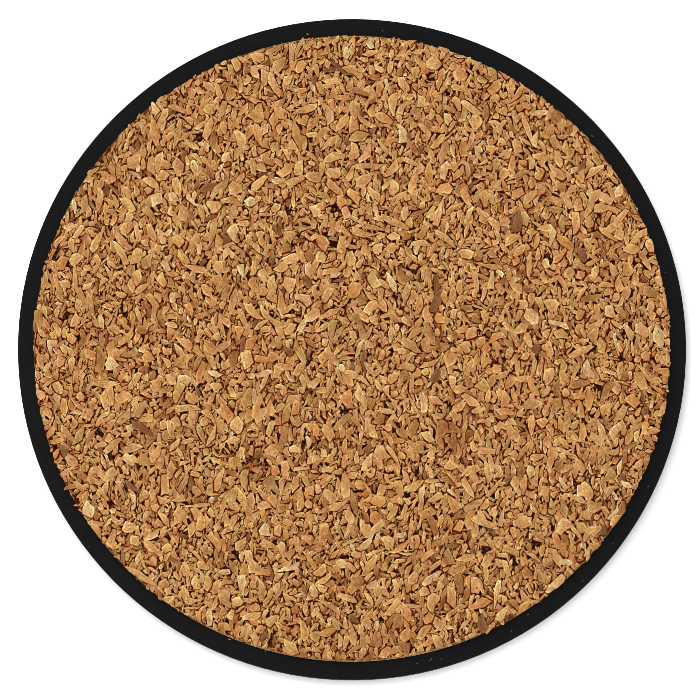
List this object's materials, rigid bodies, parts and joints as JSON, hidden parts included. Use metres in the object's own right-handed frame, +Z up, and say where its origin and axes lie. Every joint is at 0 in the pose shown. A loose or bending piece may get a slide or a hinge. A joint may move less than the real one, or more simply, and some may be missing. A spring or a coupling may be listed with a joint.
{
  "type": "round cork bulletin board",
  "caption": "Small round pin board: coarse-grain cork disc on a slightly larger black hardboard disc, with a keyhole hanger and rubber bumpers behind.",
  "frame": {"origin": "centre of the whole board's box, on the axis of the discs, half way between the cork's face and the wall", "axes": "+Z up as hung; -Y the front, out of the cork; +Y into the wall; +X to the right as seen from the front"},
  "size_m": [0.2, 0.0104, 0.2],
  "materials": {
    "black_hardboard": "matte black dyed hardboard with a fine tooth",
    "contact_adhesive": "dried amber film",
    "cork": "coarse agglomerated cork, skived flat and unsealed",
    "zinc_steel": "bright zinc plate with drawn grain",
    "rivet_metal": "satin",
    "bumper_rubber": "matte moulded rubber",
    "bumper_tape": "cream acrylic foam tape"
  },
  "bodies": {
    "root": {"backing_board": "black_hardboard", "cork_glue_film": "contact_adhesive", "cork_sheet": "cork", "keyhole_hanger": "zinc_steel", "hanger_rivet_left": "rivet_metal", "hanger_rivet_right": "rivet_metal", "bumper_upper_left": "bumper_rubber", "bumper_upper_right": "bumper_rubber", "bumper_lower_left": "bumper_rubber", "bumper_lower_right": "bumper_rubber", "bumper_tape_upper_left": "bumper_tape", "bumper_tape_upper_right": "bumper_tape", "bumper_tape_lower_left": "bumper_tape", "bumper_tape_lower_right": "bumper_tape"}
  },
  "joints": []
}
